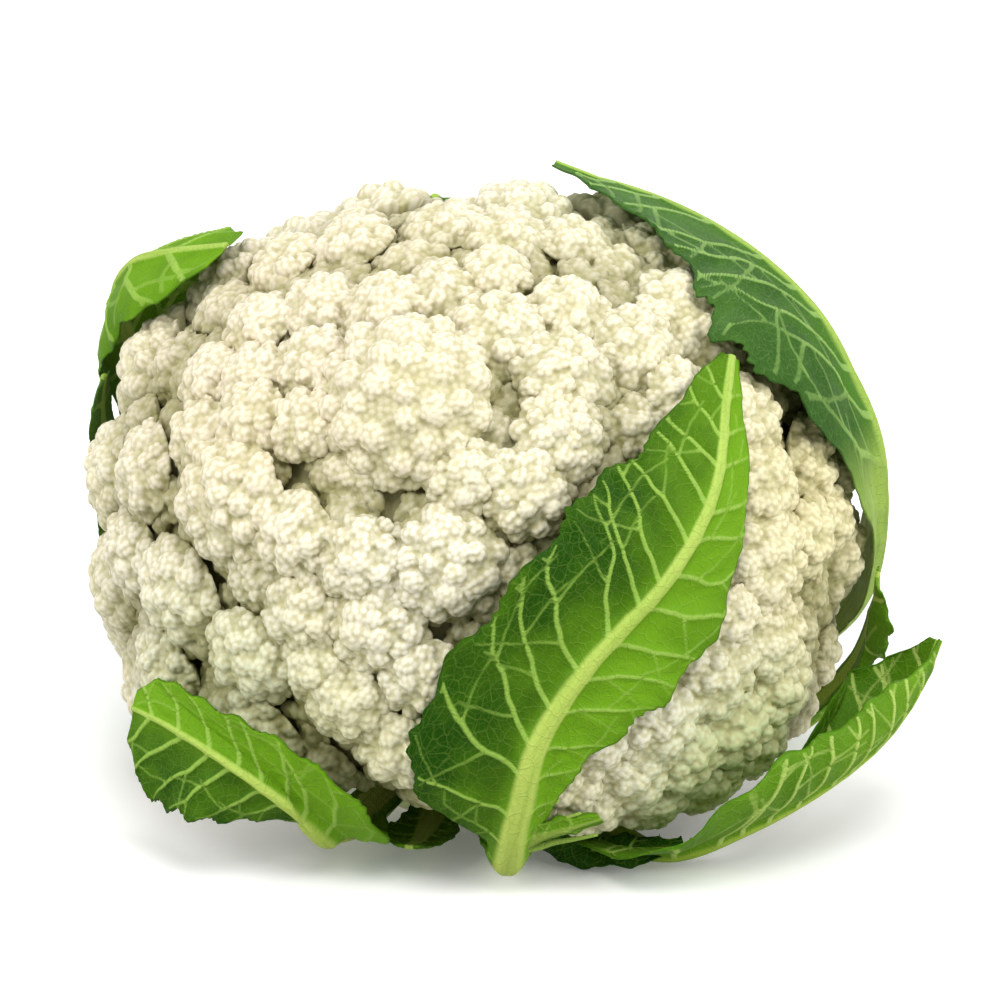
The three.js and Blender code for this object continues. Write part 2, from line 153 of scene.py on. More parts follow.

# Stations as in the part's source, but for a wider left edge halfway up leaf_right:
# x, y, z, half widths left and right, turns left and right
# The two numbers after each look paint light and shade on a leaf's left and right halves, 0 dark and 1 light,
# for how light falls on them
LEAVES = {
    "leaf_front": dict(
        rows=26, wave=1.4, rib=0.8, grid=(410, 114), veins=16, look="leaf_green", painted_light_halves=(0.18, 0.85),
        stations=(
            (4, -32, 10.5, 5.5, 5.5, 0, 0), (6, -51, 8, 6, 6, 0, 0), (7, -66, 10, 5, 5, 0, 0),
            (7.6, -71.5, 17.5, 7, 5, 4, 5), (8.8, -74.5, 26, 23, 7, 8, 10), (13, -79, 42, 26, 13, 14, 15),
            (24, -80, 58, 26, 20, 18, 22), (40, -75, 74, 28, 19, 22, 25), (50, -66, 90, 21, 11, 20, 20),
            (53, -50, 106, 9, 5, 15, 12), (54.5, -42, 112, 2.5, 2, 0, 0),
        ),
    ),
    "leaf_right": dict(
        rows=28, wave=2.0, rib=0.75, grid=(250, 100), veins=17,
        look="leaf_blue_green", painted_light_halves=(0.5, 0.5), pale_foot=0.75,
        stations=(
            (25.6, 19.3, 10.5, 5.5, 5.5, 0, 0), (48, 36, 8.5, 6, 6, 0, 0), (68, 34, 18, 5.5, 7, 0, 10),
            (82, 18, 38, 7, 9, 5, 15), (87, 5, 59, 12, 10, 10, 20), (86, -1, 79, 26, 12, 25, 20),
            (78.5, 4, 95.5, 44, 20, 46, 30), (67, 11, 107, 54, 26, 50, 38),
            (54, 16.5, 116.5, 42, 25, 40, 38), (39.5, 20, 125, 27, 18, 32, 32),
            (27, 22.5, 130.5, 15, 10, 20, 20), (17.5, 24.5, 134, 6, 6, 0, 0),
        ),
    ),
    "leaf_lower_right": dict(
        rows=20, wave=1.2, rib=0.6, outer=(0.35, -0.2, -0.9), grid=(240, 110), veins=14,
        look="leaf_pale", painted_light_halves=(0.6, 0.4),
        stations=(
            (17.4, -26.8, 9.5, 5.5, 5.5, 0, 0), (27.5, -43, 6, 11, 4, 0, 0), (42, -56, 5.5, 19, 3, 5, 0),
            (58, -57.5, 11.5, 22, 4, 45, 60), (74.5, -51, 18, 20, 18, 85, 120),
            (87.5, -43.5, 25.5, 17, 25, 95, 115), (96, -37, 35, 9, 16, 80, 80),
            (100.5, -32.5, 44, 2.5, 3, 40, 40),
        ),
    ),
    "leaf_lower_left": dict(
        rows=22, wave=1.2, rib=0.75, outer=(-0.35, -0.9, 0.15), grid=(220, 96), veins=11,
        look="leaf_green", painted_light_halves=(0.1, 0.95), slim=0.55,
        stations=(
            (-17, -27.1, 10.5, 5.5, 5.5, 0, 0), (-25, -45, 9, 6, 7, 0, 0),
            (-31, -60.5, 13, 4.5, 15, 10, 0), (-39, -67.5, 20.5, 8.5, 17, 10, 8),
            (-49, -67.5, 27.5, 15, 16, 8, 18), (-59, -63, 32.5, 18.5, 14, 6, 25),
            (-67.5, -56.5, 35, 17.5, 11, 6, 20), (-73, -51, 35.5, 8, 4, 0, 0),
        ),
    ),
    "leaf_upper_left": dict(
        rows=22, wave=2.2, rib=0.9, grid=(150, 72), veins=10, look="leaf_green", painted_light_halves=(0.6, 0.7),
        stations=(
            (-27, 17, 10.5, 5.5, 5.5, 0, 0), (-50.3, 32.3, 8.5, 6, 6, 0, 0), (-62, 45.5, 18, 9, 8, 10, 0),
            (-70, 49, 46, 18, 9, 20, 10), (-76, 47, 78, 24, 13, 25, 30), (-79, 37, 97, 24, 17, 30, 48),
            (-75, 25, 110, 22, 19, 35, 55), (-65, 13, 117, 17, 17, 35, 48), (-54, 4, 121.5, 7, 8, 20, 20),
        ),
    ),
    "leaf_left_low": dict(
        rows=14, wave=1.2, rib=0.9, grid=(110, 50), veins=7, look="leaf_blue_green", painted_light_halves=(0.4, 0.4),
        stations=(
            (-31, 5.5, 10.5, 5.5, 5.5, 0, 0), (-59, 11, 8.5, 6, 6, 0, 0), (-73.5, 22.5, 18, 6, 8, 0, 10),
            (-77, 32, 41, 6, 10, 0, 12), (-80, 31, 61, 6, 10, 0, 12), (-81, 26, 76, 5, 9, 0, 8),
            (-79.5, 21, 85, 2.5, 4, 0, 0),
        ),
    ),
    "leaf_right_low": dict(
        rows=14, wave=0.6, rib=0.7, grid=(110, 50), veins=6, look="leaf_pale", painted_light_halves=(0.6, 0.6),
        stations=(
            (31.3, 6.7, 10.5, 5.5, 5.5, 0, 0), (57.5, 12, 8.5, 5.5, 5.5, 0, 0), (76, 9, 19, 5, 4, -20, 0),
            (84.5, 0, 33, 10, 4, -65, 0), (87.3, -7, 43, 12.5, 3.5, -80, 0),
            (87.8, -12, 51.5, 6, 2.5, -60, 0),
        ),
    ),
    # Painted dark all over, as painted shade, for it lies in the shade under the head
    "leaf_under": dict(
        rows=12, wave=0.8, rib=0.5, grid=(80, 50), veins=7, look="leaf_green", painted_light_halves=(0.05, 0.05),
        stations=(
            (-6.9, -31.2, 8.5, 4, 4, 0, 0), (-9.5, -43, 6, 7, 7, 15, 15), (-12, -54, 6, 8, 8, 20, 20),
            (-14, -64, 9, 3, 3, 0, 0),
        ),
    ),
    "leaf_back_left": dict(
        rows=18, wave=2.4, rib=1.0, grid=(130, 64), veins=11, look="leaf_blue_green", painted_light_halves=(0.4, 0.5),
        stations=(
            (-10, 30.5, 10.5, 5.5, 5.5, 0, 0), (-18.5, 57, 8.5, 6, 6, 0, 0), (-21.5, 74, 18, 11, 11, 10, 10),
            (-23, 80, 42, 24, 24, 20, 20), (-22, 83, 66, 30, 30, 28, 28), (-18, 78, 90, 29, 29, 30, 30),
            (-13, 70, 104, 20, 20, 28, 28), (-9, 60, 115, 5, 5, 10, 10),
        ),
    ),
    "leaf_back_right": dict(
        rows=16, wave=2.2, rib=1.0, grid=(120, 60), veins=10, look="leaf_blue_green", painted_light_halves=(0.5, 0.4),
        stations=(
            (15, 28.5, 10.5, 5.5, 5.5, 0, 0), (28.2, 53, 8.5, 6, 6, 0, 0), (38.5, 66.7, 18, 11, 11, 10, 10),
            (46.5, 70, 44, 20, 20, 18, 18), (51, 70, 66, 23, 23, 24, 24), (48, 66, 90, 18, 18, 24, 24),
            (43, 59, 105, 4, 4, 0, 0),
        ),
    ),
}

# Bits of the front leaf's torn foot: a scrap on the floor behind it, painted dark as painted shade, and a
# frayed edge on its right
SCRAP_SEED = 21  # the leaves have the seeds from 1 on
SCRAPS = {
    "leaf_front_scrap": dict(
        # The scrap's low numbers paint it dark, as shade
        rows=15, wave=6.0, rib=0.05, outer=(0.0, -0.6, 0.8), grid=(110, 30), veins=4, painted_light_halves=(-0.4, -0.4),
        stations=(
            (9, -52, 5.5, 2.5, 2, 0, 0), (18, -55, 4.5, 4.5, 3, 10, 10), (27, -57, 4, 5, 3.5, 10, 10),
            (36, -57.5, 4.5, 4.5, 3, 0, 0), (45, -56, 6, 2, 2, 0, 0),
        ),
    ),
    "leaf_front_fray": dict(
        rows=9, wave=3.0, rib=0.2, outer=(0.25, -0.9, 0.3), grid=(70, 40), veins=4, painted_light_halves=(0.55, 0.3),
        stations=(
            (8, -71.5, 14, 2, 2, 0, 0), (13, -73.5, 17, 4.6, 4, 0, 0), (19, -72, 20, 5, 4.6, 0, 0),
            (25, -69.5, 23, 2.5, 2.5, 0, 0),
        ),
    ),
}

# Torn strands beside the front leaf's stalk: start, bend and end
STRANDS = (
    ((8, -72.5, 12), (15, -75.5, 14), (24, -70, 20)),
    ((8, -73, 14), (14, -76, 19), (21.5, -72, 24)),
    ((8, -73.5, 17), (12, -76, 22), (17, -74, 28)),
    ((8, -71.5, 11), (17, -73.5, 11.5), (25, -67.5, 17)),
)
STRAND_RADIUS, STRAND_END = 1.0, 0.35  # radius at the stalk, and the share of it at the end
STRAND_RIB = 0.62  # how much of the rib's colour strands have

# The stalk's outline: radius and height. Its side has flutes: height, count and turn
STALK_PROFILE = ((0, 0), (27, 0), (29, 1.6), (30.6, 7), (31.3, 11), (31.3, 13.1), (0, 13.1))
STALK_FLUTES = ((0.5, 11, 0), (0.3, 23, 1))
FLUTE_SINK, FLUTE_SCALE = 0.8, 40.0
STALK_SIDE = (20, 27)  # radii between which the flutes set in

GOLDEN_ANGLE = math.pi * (3 - math.sqrt(5))
VIEW = np.array((0.0, math.cos(FRONT_ELEVATION), -math.sin(FRONT_ELEVATION)))
VIEW_UP = np.array((0.0, math.sin(FRONT_ELEVATION), math.cos(FRONT_ELEVATION)))


def smooth_ramp(value, low, high):
    share = np.clip((value - low) / (high - low), 0, 1)
    return share * share * (3 - 2 * share)


def unit(vectors):
    return vectors / np.maximum(np.linalg.norm(vectors, axis=-1, keepdims=True), 1e-12)


def chance(i, k):
    """A repeatable draw from 0 to 1 for the pair of whole numbers i and k."""
    wave = math.sin(i * 12.9898 + k * 78.233 + CHANCE_SEED) * 43758.5453
    return wave - math.floor(wave)


# Shape of the dome and places of the florets


def unhung_height(points):
    """Heights above the curd's middle as they were before the rim hung down."""
    slope = points[..., 2] / np.maximum(np.hypot(points[..., 0], points[..., 1]), 1e-9)
    clear = smooth_ramp(slope, *HANG_STARTS)
    low = 1 - smooth_ramp(slope, *HANG_ENDS)
    return points[..., 2] + HANG * clear * low * np.maximum(0, points @ HANG_WAY)


def dome_level(points):
    """1 on the dome, less inside it and more outside. Points are measured from the curd's middle."""
    across = np.abs(2 * points[..., 0] / CURD_SPAN[0]) ** FULL_AROUND
    away = np.abs(2 * points[..., 1] / CURD_SPAN[1]) ** FULL_AROUND
    height = unhung_height(points)
    fullness = np.where(height > 0, FULL_ABOVE, FULL_BELOW)
    up = np.abs(2 * height / CURD_SPAN[2]) ** fullness
    return ((across + away) ** (fullness / FULL_AROUND) + up) ** (1 / fullness)


def seen_from_front(across, up):
    """The dome's near point behind a spot of the front view."""
    middle = np.array((across, 0.0, 0.0)) + VIEW_UP * up
    near, far = CURD_SPAN[0], 0.0
    for _ in range(40):
        half = (near + far) / 2
        if dome_level(middle - VIEW * half) > 1:
            near = half
        else:
            far = half
    point = middle - VIEW * far
    return point / dome_level(point)


def spiral_direction(i, count):
    z = 1 - (2 * i + 1) / count
    flat = math.sqrt(1 - z * z)
    return np.array((flat * math.cos(i * GOLDEN_ANGLE), flat * math.sin(i * GOLDEN_ANGLE), z))


def place_florets():
    """Every floret as its top from the curd's middle, the way it faces and its radius."""
    tops = [seen_from_front(across, up) for across, up, _ in FRONT_FLORETS]
    radii = [radius for _, _, radius in FRONT_FLORETS]
    sunk_by = [0.0] * len(tops)
    for number, (tries, radius, spread, spacing, sunk) in enumerate(FILL_ROUNDS):
        for i in range(tries):
            direction = spiral_direction(i, tries)
            top = direction / dome_level(direction)
            size = radius + spread * chance(i, number)
            gaps = np.linalg.norm(np.array(tops) - top, axis=1)
            clear = np.all(gaps > spacing * (np.array(radii) + size))
            if clear and unhung_height(top) + CURD_MIDDLE[2] > LOWEST_FLORET:
                tops.append(top)
                radii.append(size)
                sunk_by.append(sunk)
    florets = []
    for i, (top, radius, sunk) in enumerate(zip(tops, radii, sunk_by)):
        out = top / np.linalg.norm(top)
        uneven = LEAST_SETTLED + (1 - LEAST_SETTLED) * chance(i, SETTLE_DRAW)
        settled = SETTLE * (1 - smooth_ramp(radius, *SETTLED_RADII)) * uneven
        if i < len(FRONT_FLORETS):
            settled = FRONT_SETTLED * settled - LIFT * smooth_ramp(radius, *LIFTED_RADII)
        florets.append((top - out * (sunk + settled), out, radius))
    for across, up, radius in LAST_FLORETS:
        top = seen_from_front(across, up)
        florets.append((top, unit(top), radius))
    return florets


# Objects and their meshes


def mesh_of(bm, name):
    mesh = bpy.data.meshes.new(name)
    bm.to_mesh(mesh)
    bm.free()
    return mesh


def points_of(mesh):
    points = np.empty(len(mesh.vertices) * 3, np.float32)
    mesh.vertices.foreach_get("co", points)
    return points.reshape(-1, 3).astype(float)


def normals_of(mesh):
    mesh.update()
    normals = np.empty(len(mesh.vertices) * 3, np.float32)
    mesh.vertex_normals.foreach_get("vector", normals)
    return normals.reshape(-1, 3).astype(float)


def move_points(mesh, points):
    mesh.vertices.foreach_set("co", points.astype(np.float32).ravel())
    mesh.update()


def store(mesh, name, values):
    attribute = mesh.attributes.new(name, "FLOAT", "POINT")
    attribute.data.foreach_set("value", values.astype(np.float32))


def store_vectors(mesh, name, vectors):
    attribute = mesh.attributes.new(name, "FLOAT_VECTOR", "POINT")
    attribute.data.foreach_set("vector", vectors.astype(np.float32).ravel())


def tree_of(points):
    tree = kdtree.KDTree(len(points))
    for i, point in enumerate(points):
        tree.insert(point, i)
    tree.balance()
    return tree


def add_object(name, data):
    made = bpy.data.objects.new(name, data)
    bpy.context.scene.collection.objects.link(made)
    return made


def add_piece(mesh, material, node):
    mesh.shade_smooth()
    mesh.materials.append(material)
    piece = add_object(mesh.name, mesh)
    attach(piece, "root")
    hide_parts(node)


# The curd


def swollen(radius):
    return radius * (SWELL - SWELL_FALL * radius)


def turned_to(out, vectors):
    """Vectors of a floret that faces up, turned with it to the way it faces."""
    turn = np.array(Vector((0, 0, 1)).rotation_difference(Vector(out)).to_matrix())
    return vectors @ turn.T


def cap_angles(florets):
    """How far down its ball each floret shows before its neighbours or the core hide it."""
    reaches = np.array([swollen(radius) for _, _, radius in florets])
    middles = np.array([top - out * reach for (top, out, _), reach in zip(florets, reaches)])
    probes = np.array([spiral_direction(k, PROBES) for k in range(UPPER_PROBES)])
    angles = []
    for i, (_, out, _) in enumerate(florets):
        points = middles[i] + turned_to(out, probes) * reaches[i]
        gaps = np.linalg.norm(points[:, None] - middles, axis=2) - reaches
        gaps[:, i] = 0.0
        shown = np.all(gaps > -HIDDEN_DEPTH, axis=1) & (dome_level(points) > BARE_LEVEL)
        lowest = np.min(probes[shown, 2], initial=math.cos(LEAST_CAP))
        angles.append(min(MOST_CAP, math.acos(lowest) + CAP_MARGIN))
    return angles


def cap_segments(floret):
    top, out, radius, angle = floret
    edge = FRONT_EDGE if out @ VIEW < FACING_AWAY else BACK_EDGE
    if np.linalg.norm(top) < np.linalg.norm(out / dome_level(out)) - GAP_DEPTH:
        edge = GAP_EDGE
    return int(2 * angle * swollen(radius) / edge)


def floret_cap(segments):
    """A flat square that is later drawn over a floret's ball, closed below by its folded rim."""
    bm = bmesh.new()
    bmesh.ops.create_grid(bm, x_segments=segments, y_segments=segments, size=1.0)
    rim = [edge for edge in bm.edges if edge.is_boundary]
    folded = bmesh.ops.extrude_edge_only(bm, edges=rim)["geom"]
    ends = [vert for vert in folded if isinstance(vert, bmesh.types.BMVert)]
    bmesh.ops.translate(bm, vec=(0, 0, -1), verts=ends)
    loop = [edge for edge in folded if isinstance(edge, bmesh.types.BMEdge) and edge.is_boundary]
    bmesh.ops.edgeloop_fill(bm, edges=loop)
    bmesh.ops.recalc_face_normals(bm, faces=bm.faces[:])
    return mesh_of(bm, "floret_cap")


def floret_points(flat, floret, index):
    """A flat cap drawn over a floret's ball and its buds, and how far it lies below their tops."""
    top, out, radius, angle = floret
    full = swollen(radius)
    slope = angle * np.max(np.abs(flat[:, :2]), axis=1)
    directions = np.column_stack((unit(flat[:, :2]) * np.sin(slope)[:, None], np.cos(slope)))
    bud_size = BUD_LEAST + BUD_SHARE * radius
    ball = full - BUD_SINK * bud_size
    reach = np.full(len(flat), ball)
    count = int(BUD_CROWD * (full / bud_size) ** 2)
    for i in range(int(count * (BUD_LIMIT - math.cos(angle)) / 2)):
        wander = np.array([chance(i, k + index) for k in WANDER_DRAWS]) - 0.5
        toward = unit(spiral_direction(i, count) + BUD_WANDER * bud_size / full * wander)
        size = bud_size * (BUD_SMALLEST + BUD_SPREAD * chance(i, SIZE_DRAW + index))
        rise = full + BUD_UNEVEN * bud_size * (chance(i, RISE_DRAW + index) - 0.5)
        bud = toward * (rise - size)
        along = directions @ bud
        inside = along * along - bud @ bud + size * size
        hit = along + np.sqrt(np.maximum(inside, 0))
        reach = np.where(inside > 0, np.maximum(reach, hit), reach)
    depth = np.clip((full - reach) / (BUD_SINK * bud_size), 0, 1)
    reach = np.where(flat[:, 2] < -0.5, FOLDED_RIM * ball, reach)
    return top - out * full + turned_to(out, directions * reach[:, None]), depth


def spread_seeds(points, spacing, seed):
    """Points of a mesh picked at random, none nearer to another than the spacing."""
    tree = tree_of(points)
    order = list(range(len(points)))
    random.Random(seed).shuffle(order)
    taken = np.zeros(len(points), bool)
    seeds = []
    for i in order:
        if taken[i]:
            continue
        seeds.append(i)
        near = [found[1] for found in tree.find_range(points[i], spacing)]
        taken[near] = True
    return points[seeds]


def raise_grains(mesh, seed):
    """Raises rounded grains over a mesh and returns how far each point is from its grain's top."""
    points = points_of(mesh)
    normals = normals_of(mesh)
    seeds = spread_seeds(points, GRAIN_SPACING, seed)
    tree = tree_of(seeds)
    away = np.array([tree.find(point)[2] for point in points])
    share = np.clip(away / (GRAIN_REACH * GRAIN_SPACING), 0, 1)
    crown = np.sqrt(1 - share * share)
    move_points(mesh, points + normals * (GRAIN_HEIGHT * (crown - GRAIN_SINK))[:, None])
    return share


def floret_groups(florets):
    """The florets' numbers in order round the head, in groups that stay under a piece's limit."""
    order = sorted(range(len(florets)), key=lambda i: math.atan2(florets[i][1][0], -florets[i][1][1]))
    groups = [[]]
    count = 0
    for i in order:
        triangles = 2 * cap_segments(florets[i]) * (cap_segments(florets[i]) + 6)
        if count + triangles > PIECE_LIMIT:
            groups.append([])
            count = 0
        groups[-1].append(i)
        count += triangles
    return groups


def build_florets(name, florets, group, material, seed):
    bm = bmesh.new()
    points, depths = [], []
    for i in group:
        cap = floret_cap(cap_segments(florets[i]))
        bm.from_mesh(cap)
        drawn, depth = floret_points(points_of(cap), florets[i], i)
        points.append(drawn + CURD_MIDDLE)
        depths.append(depth)
        bpy.data.meshes.remove(cap)
    mesh = mesh_of(bm, name)
    move_points(mesh, np.concatenate(points))
    grains = raise_grains(mesh, seed)
    points = points_of(mesh)
    from_middle = points - CURD_MIDDLE
    hollow = (1 - dome_level(from_middle)) * np.linalg.norm(from_middle, axis=1)
    store(mesh, "bud_depth", np.concatenate(depths))
    store(mesh, "grain_edge", grains)
    store(mesh, "hollow", np.clip(hollow / HOLLOW_DEPTH, 0, 1))
    move_points(mesh, points * MM)
    add_piece(mesh, material, "curd")


def build_curd(material):
    florets = place_florets()
    florets = [(*floret, angle) for floret, angle in zip(florets, cap_angles(florets))]
    for number, group in enumerate(floret_groups(florets)):
        build_florets(f"curd_florets_{number + 1}", florets, group, material, number)
    build_core(material)


def build_core(material):
    """The solid heart of the head, which shows only deep between the florets and is painted with the full
    crease shade.
    """
    bm = bmesh.new()
    bmesh.ops.create_icosphere(bm, subdivisions=6, radius=1.0)
    mesh = mesh_of(bm, "curd_core")
    directions = points_of(mesh)
    rise = np.minimum(unhung_height(directions), -1e-6)
    reach = np.minimum(CORE_SHARE / dome_level(directions), (UNDERSIDE - CURD_MIDDLE[2]) / rise)
    move_points(mesh, directions * reach[:, None] + CURD_MIDDLE)
    # The core takes the full painted crease shade all over
    store(mesh, "bud_depth", np.ones(len(directions)))
    store(mesh, "grain_edge", raise_grains(mesh, CORE_SEED))
    store(mesh, "hollow", np.ones(len(directions)))
    move_points(mesh, points_of(mesh) * MM)
    add_piece(mesh, material, "curd")


# Leaves


def station_at(stations, s):
    """The stations' values at s, from 0 at the stalk to 1 at the tip, on a smooth curve through them."""
    last = len(stations) - 1
    i = np.minimum((s * last).astype(int), last - 1)
    f = (s * last - i)[:, None]
    padded = np.vstack((2 * stations[0] - stations[1], stations, 2 * stations[-1] - stations[-2]))
    before, start, end, after = padded[i], padded[i + 1], padded[i + 2], padded[i + 3]
    leave, arrive = (end - before) / 2, (after - start) / 2
    curve = 3 * (end - start) - 2 * leave - arrive
    twist = 2 * (start - end) + leave + arrive
    return start + f * (leave + f * (curve + f * twist))


def clear_of_curd(points):
    """Points moved out until they clear the dome."""
    away = points - CURD_MIDDLE
    reach = np.linalg.norm(away, axis=1)
    rise = np.minimum(unhung_height(away) / reach, -1e-6)
    least = reach / dome_level(away) + CURD_GAP
    least = np.minimum(least, (UNDERSIDE - CURD_GAP - CURD_MIDDLE[2]) / rise)
    return CURD_MIDDLE + away * np.maximum(1, least / reach)[:, None]


def blade_points(leaf, s, t):
    """The inner face: s from the stalk to the tip, t from the left edge, -1, to the right, 1."""
    stations = np.array(leaf["stations"], float)
    here = station_at(stations, s)
    middle = here[:, :3]
    step = 0.004
    along = station_at(stations, np.minimum(1, s + step)) - station_at(stations, np.maximum(0, s - step))
    along = unit(along[:, :3])
    out = unit((middle - CURD_MIDDLE) / CURD_SPAN / CURD_SPAN)
    if "outer" in leaf:
        share = smooth_ramp(s, 0, OUTER_SHARE)[:, None]
        out = out * (1 - share) + np.array(leaf["outer"]) * share
    out = unit(out - along * np.sum(out * along, axis=1, keepdims=True))
    side = np.cross(along, out)
    edge = np.abs(t)
    lobes = 0.5 - 0.5 * np.cos(math.pi * leaf["rows"] * s)
    teeth = np.abs(2 * ((s * leaf["rows"] * TEETH_IN_ROW + 0.5 * np.sin(31 * s)) % 1) - 1)
    teeth = teeth * (0.6 + 0.4 * np.sin(57 * s))
    notch = 1 - LOBE_DEPTH * edge**4 * lobes - TOOTH_DEPTH * edge**12 * teeth
    half = np.where(t < 0, here[:, 3], here[:, 4]) * notch
    turn = np.radians(np.where(t < 0, here[:, 5], here[:, 6])) * edge + 1e-6
    across = half * edge * np.sin(turn) / turn
    inward = half * edge * (1 - np.cos(turn)) / turn
    swell = np.minimum(1, half / FULL_WAVE_HALF)
    phase = np.where(t < 0, 0, 2)
    ripple = leaf["wave"] * edge**2 * np.sin(2 * math.pi * WAVES * s + phase)
    ruffles = 2 * math.pi * WAVES * RUFFLES_IN_WAVE * s
    ruffle = RUFFLE * edge**5 * np.sin(ruffles + 2 * phase + np.sin(9 * s))
    lift = swell * (ripple + ruffle) - inward
    return clear_of_curd(middle + side * (np.sign(t) * across)[:, None] + out * lift[:, None])


def grow_vein(blade, along, off, angle, reach, width, branches, draw, marks):
    """Walks a vein over one half of a blade, with its branches, and adds its points to the marks."""
    side, lengths, halves = blade
    aim, gone = angle, 0.0
    fork = reach * draw.uniform(*FIRST_FORK)
    fork_side = draw.choice((-1, 1))
    while gone < reach:
        half = np.interp(along, lengths, halves)
        if off < 0.2 or off > VEIN_END * half or along > lengths[-1] - 1:
            break
        marks.append((along, side * off, max(THINNEST_HALF, width * (1 - VEIN_THINNING * gone / reach))))
        aimed = aim + VEIN_BEND * gone / reach
        angle += math.radians(draw.gauss(0, VEIN_SHAKE)) + VEIN_PULL * (aimed - angle)
        along += VEIN_STEP * math.cos(angle)
        off += VEIN_STEP * math.sin(angle)
        gone += VEIN_STEP
        if gone > fork and branches:
            turned = angle + fork_side * math.radians(draw.uniform(*FORK_ANGLES))
            branch = reach * draw.uniform(*BRANCH_REACH)
            grow_vein(blade, along, off, turned, branch, width * VEIN_TAPER, branches - 1, draw, marks)
            angle -= fork_side * math.radians(draw.uniform(*FORK_KICK))
            fork = gone + reach * draw.uniform(*NEXT_FORK)
            fork_side = -fork_side


def leaf_veins(count, lengths, halves, draw):
    """Points of every vein of a leaf: distance along it, distance across it and the vein's half width."""
    marks = [(0.0, 0.0, THINNEST_HALF)]
    for side in (-1, 1):
        blade = (side, lengths, halves[side])
        for i in range(count):
            share = FIRST_VEIN + VEIN_SPAN * (i + draw.uniform(0.25, 0.75)) / count
            half = np.interp(share * lengths[-1], lengths, halves[side])
            if half > LEAST_VEINED_HALF:
                spread = draw.uniform(-VEIN_ANGLE_SPREAD, VEIN_ANGLE_SPREAD)
                angle = math.radians(VEIN_ANGLE - VEIN_ANGLE_FALL * share + spread)
                width = VEIN_HALF * min(1, 0.6 + half / 50)
                grow_vein(blade, share * lengths[-1], 0.5, angle, VEIN_REACH * half, width, 1, draw, marks)
    return np.array(marks)


def nearest_vein(marks, places):
    """How far each place lies from the middle of the nearest vein, and that vein's half width."""
    tree = tree_of([(along, off, 0) for along, off, _ in marks])
    found = [tree.find(place) for place in places]
    return np.array([item[2] for item in found]), marks[[item[1] for item in found], 2]


def leaf_grid(rows, columns):
    """A closed flat box in which x is across the blade, y along it, and z its two faces."""
    bm = bmesh.new()
    bmesh.ops.create_grid(bm, x_segments=columns, y_segments=rows, size=1.0)
    lifted = bmesh.ops.extrude_face_region(bm, geom=bm.faces[:])["geom"]
    top = [vert for vert in lifted if isinstance(vert, bmesh.types.BMVert)]
    bmesh.ops.translate(bm, vec=(0, 0, 1), verts=top)
    bmesh.ops.recalc_face_normals(bm, faces=bm.faces[:])
    return bm


def blade_ways(leaf, s, t):
    """The way that the blade's outer face looks at each point."""
    tilt = 0.006
    ahead = blade_points(leaf, np.minimum(1, s + tilt), t)
    behind = blade_points(leaf, np.maximum(0, s - tilt), t)
    right = blade_points(leaf, s, np.minimum(1, t + tilt))
    left = blade_points(leaf, s, np.maximum(-1, t - tilt))
    return unit(np.cross(right - left, ahead - behind))


def rib_shape(leaf, s, off):
    """The rib's height along the leaf, and how much of a point this far off its middle is rib."""
    fade = (1 - s) ** RIB_FADE
    height = RIB_TIP_HEIGHT + (RIB_HEIGHT - RIB_TIP_HEIGHT) * fade
    half_width = RIB_TIP_HALF_WIDTH + (RIB_HALF_WIDTH - RIB_TIP_HALF_WIDTH) * fade
    half_width = half_width * (1 - (1 - leaf.get("slim", 1)) * smooth_ramp(s, *RIB_SLIMS))
    return leaf["rib"] * height, np.exp(-np.abs(off / half_width) ** 3)


